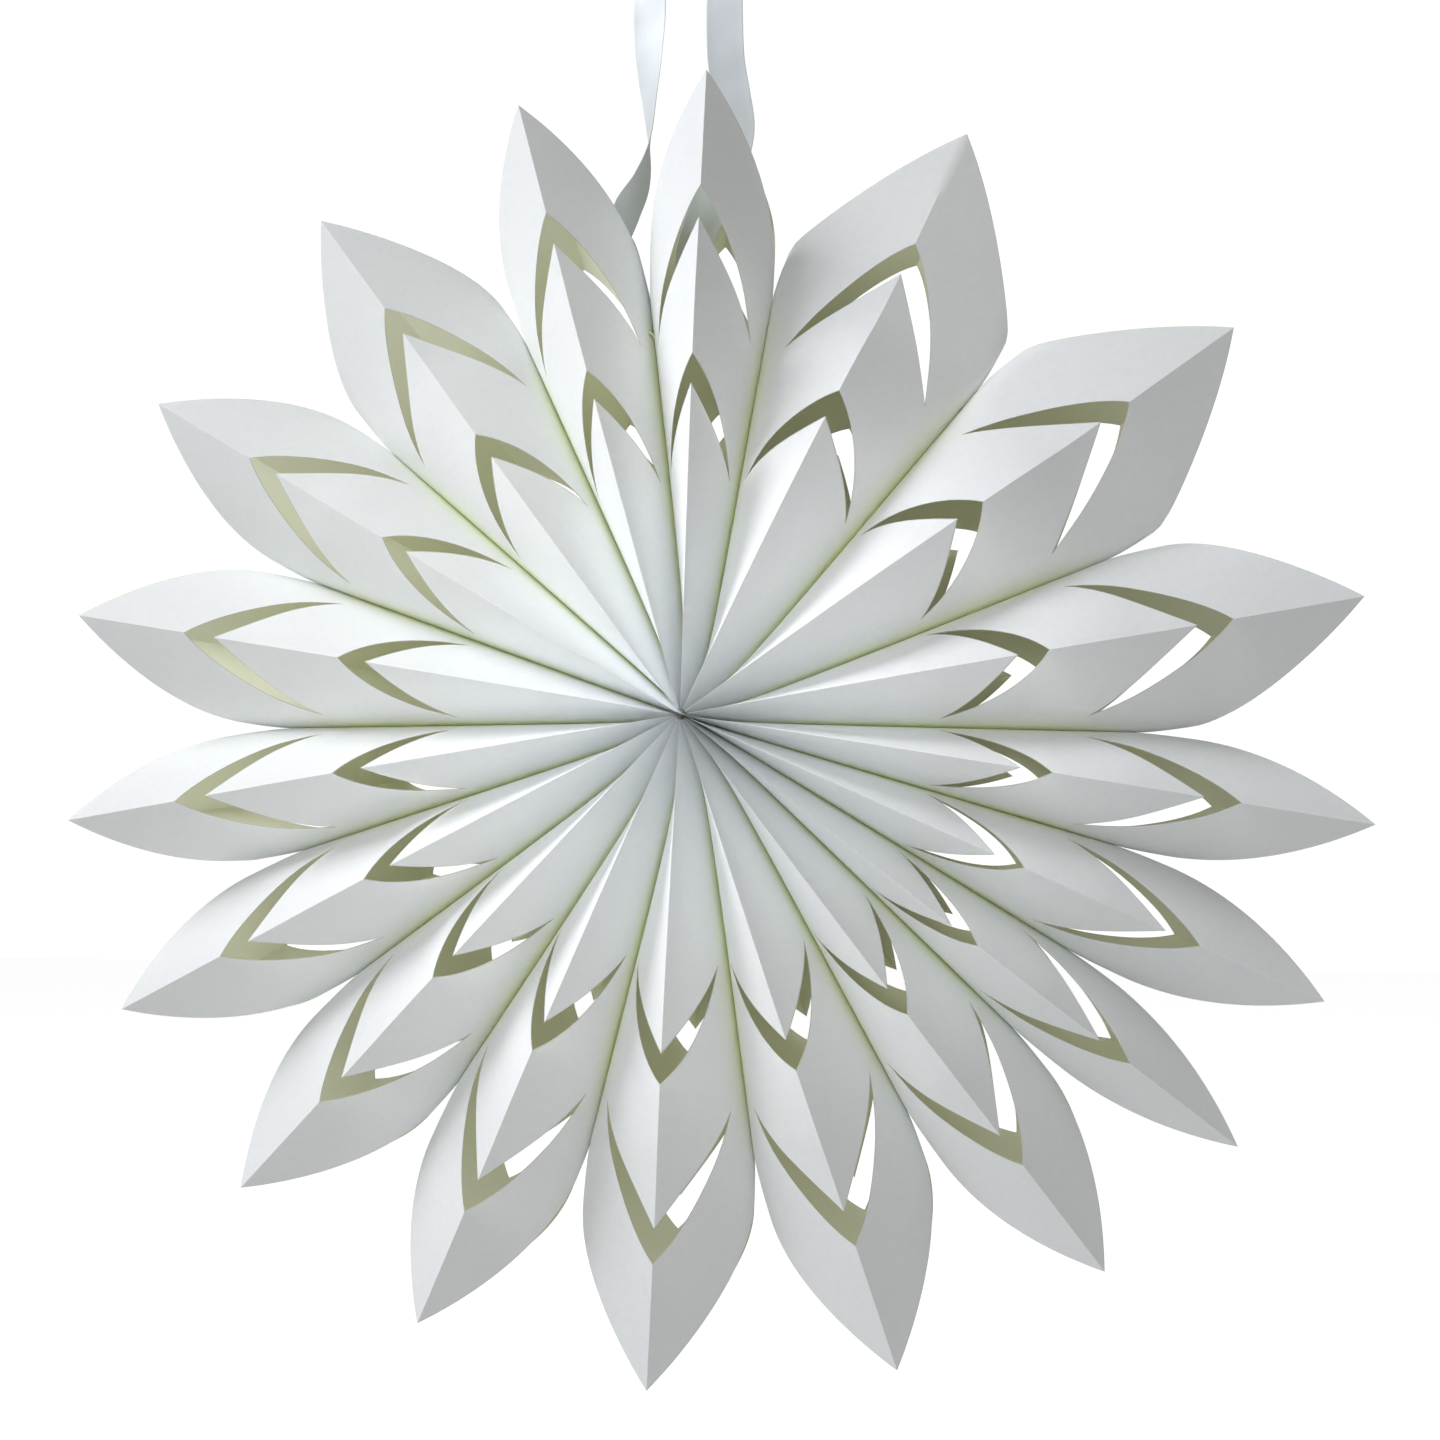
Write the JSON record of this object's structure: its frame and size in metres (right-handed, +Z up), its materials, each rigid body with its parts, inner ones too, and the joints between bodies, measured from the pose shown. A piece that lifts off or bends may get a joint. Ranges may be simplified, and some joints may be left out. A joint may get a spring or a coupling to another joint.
{
  "type": "folded paper star lantern",
  "caption": "White fan-folded paper star with leaf-shaped cut-outs, its petals glued along their seams, hung and held closed by a satin ribbon loop.",
  "frame": {"origin": "top of the ribbon's loop, where it lies over the hook that holds the star up", "axes": "+Z up, -Y out of the star's front, the fan opens and closes round a line along Y through the hub"},
  "size_m": [0.5926, 0.12, 0.6997],
  "materials": {
    "white_paper": "matte",
    "white_ribbon": "satin"
  },
  "bodies": {
    "ribbon": {"hanging_ribbon": "white_ribbon"},
    "petal_01": {"petal_01": "white_paper"},
    "petal_02": {"petal_02": "white_paper"},
    "petal_03": {"petal_03": "white_paper"},
    "petal_04": {"petal_04": "white_paper"},
    "petal_05": {"petal_05": "white_paper"},
    "petal_06": {"petal_06": "white_paper"},
    "petal_07": {"petal_07": "white_paper"},
    "petal_08": {"petal_08": "white_paper"},
    "petal_09": {"petal_09": "white_paper"},
    "petal_10": {"petal_10": "white_paper"},
    "petal_11": {"petal_11": "white_paper"},
    "petal_12": {"petal_12": "white_paper"},
    "petal_13": {"petal_13": "white_paper"},
    "petal_14": {"petal_14": "white_paper"},
    "petal_15": {"petal_15": "white_paper"},
    "petal_16": {"petal_16": "white_paper"},
    "petal_17": {"petal_17": "white_paper"},
    "petal_18": {"petal_18": "white_paper"}
  },
  "joints": [
    {"name": "turn_on_ribbon", "type": "hinge", "parent": "ribbon", "child": "petal_01", "pos_m": [0, 0, 0], "axis": [0, 0, 1], "range_deg": [-180, 180], "deforming": ["hanging_ribbon"]},
    {"name": "fan_petal_02", "type": "hinge", "parent": "petal_01", "child": "petal_02", "pos_m": [0.0065, 0, -0.4], "axis": [0, -1, 0], "range_deg": [0, 318], "deforming": ["petal_02", "petal_03", "petal_04", "petal_05", "petal_06", "petal_07", "petal_08", "petal_09", "petal_10", "petal_11", "petal_12", "petal_13", "petal_14", "petal_15", "petal_16", "petal_17", "petal_18", "hanging_ribbon"]},
    {"name": "fan_petal_03", "type": "hinge", "parent": "petal_01", "child": "petal_03", "pos_m": [0.0065, 0, -0.4], "axis": [0, -1, 0], "range_deg": [0, 298]},
    {"name": "fan_petal_04", "type": "hinge", "parent": "petal_01", "child": "petal_04", "pos_m": [0.0065, 0, -0.4], "axis": [0, -1, 0], "range_deg": [0, 276.5]},
    {"name": "fan_petal_05", "type": "hinge", "parent": "petal_01", "child": "petal_05", "pos_m": [0.0065, 0, -0.4], "axis": [0, -1, 0], "range_deg": [0, 256.75]},
    {"name": "fan_petal_06", "type": "hinge", "parent": "petal_01", "child": "petal_06", "pos_m": [0.0065, 0, -0.4], "axis": [0, -1, 0], "range_deg": [0, 239]},
    {"name": "fan_petal_07", "type": "hinge", "parent": "petal_01", "child": "petal_07", "pos_m": [0.0065, 0, -0.4], "axis": [0, -1, 0], "range_deg": [0, 222.25]},
    {"name": "fan_petal_08", "type": "hinge", "parent": "petal_01", "child": "petal_08", "pos_m": [0.0065, 0, -0.4], "axis": [0, -1, 0], "range_deg": [0, 204]},
    {"name": "fan_petal_09", "type": "hinge", "parent": "petal_01", "child": "petal_09", "pos_m": [0.0065, 0, -0.4], "axis": [0, -1, 0], "range_deg": [0, 185.25]},
    {"name": "fan_petal_10", "type": "hinge", "parent": "petal_01", "child": "petal_10", "pos_m": [0.0065, 0, -0.4], "axis": [0, -1, 0], "range_deg": [0, 165.5]},
    {"name": "fan_petal_11", "type": "hinge", "parent": "petal_01", "child": "petal_11", "pos_m": [0.0065, 0, -0.4], "axis": [0, -1, 0], "range_deg": [0, 145]},
    {"name": "fan_petal_12", "type": "hinge", "parent": "petal_01", "child": "petal_12", "pos_m": [0.0065, 0, -0.4], "axis": [0, -1, 0], "range_deg": [0, 126.75]},
    {"name": "fan_petal_13", "type": "hinge", "parent": "petal_01", "child": "petal_13", "pos_m": [0.0065, 0, -0.4], "axis": [0, -1, 0], "range_deg": [0, 112.75]},
    {"name": "fan_petal_14", "type": "hinge", "parent": "petal_01", "child": "petal_14", "pos_m": [0.0065, 0, -0.4], "axis": [0, -1, 0], "range_deg": [0, 100]},
    {"name": "fan_petal_15", "type": "hinge", "parent": "petal_01", "child": "petal_15", "pos_m": [0.0065, 0, -0.4], "axis": [0, -1, 0], "range_deg": [0, 86]},
    {"name": "fan_petal_16", "type": "hinge", "parent": "petal_01", "child": "petal_16", "pos_m": [0.0065, 0, -0.4], "axis": [0, -1, 0], "range_deg": [0, 68]},
    {"name": "fan_petal_17", "type": "hinge", "parent": "petal_01", "child": "petal_17", "pos_m": [0.0065, 0, -0.4], "axis": [0, -1, 0], "range_deg": [0, 43.25]},
    {"name": "fan_petal_18", "type": "hinge", "parent": "petal_01", "child": "petal_18", "pos_m": [0.0065, 0, -0.4], "axis": [0, -1, 0], "range_deg": [0, 14.75]}
  ],
  "couplings": [
    {"joint": "fan_petal_03", "follows": "fan_petal_02", "ratio": 0.9371},
    {"joint": "fan_petal_04", "follows": "fan_petal_02", "ratio": 0.8694},
    {"joint": "fan_petal_05", "follows": "fan_petal_02", "ratio": 0.8073},
    {"joint": "fan_petal_06", "follows": "fan_petal_02", "ratio": 0.7515},
    {"joint": "fan_petal_07", "follows": "fan_petal_02", "ratio": 0.6988},
    {"joint": "fan_petal_08", "follows": "fan_petal_02", "ratio": 0.6415},
    {"joint": "fan_petal_09", "follows": "fan_petal_02", "ratio": 0.5825},
    {"joint": "fan_petal_10", "follows": "fan_petal_02", "ratio": 0.5204},
    {"joint": "fan_petal_11", "follows": "fan_petal_02", "ratio": 0.4559},
    {"joint": "fan_petal_12", "follows": "fan_petal_02", "ratio": 0.3985},
    {"joint": "fan_petal_13", "follows": "fan_petal_02", "ratio": 0.3545},
    {"joint": "fan_petal_14", "follows": "fan_petal_02", "ratio": 0.3144},
    {"joint": "fan_petal_15", "follows": "fan_petal_02", "ratio": 0.2704},
    {"joint": "fan_petal_16", "follows": "fan_petal_02", "ratio": 0.2138},
    {"joint": "fan_petal_17", "follows": "fan_petal_02", "ratio": 0.136},
    {"joint": "fan_petal_18", "follows": "fan_petal_02", "ratio": 0.0463}
  ]
}
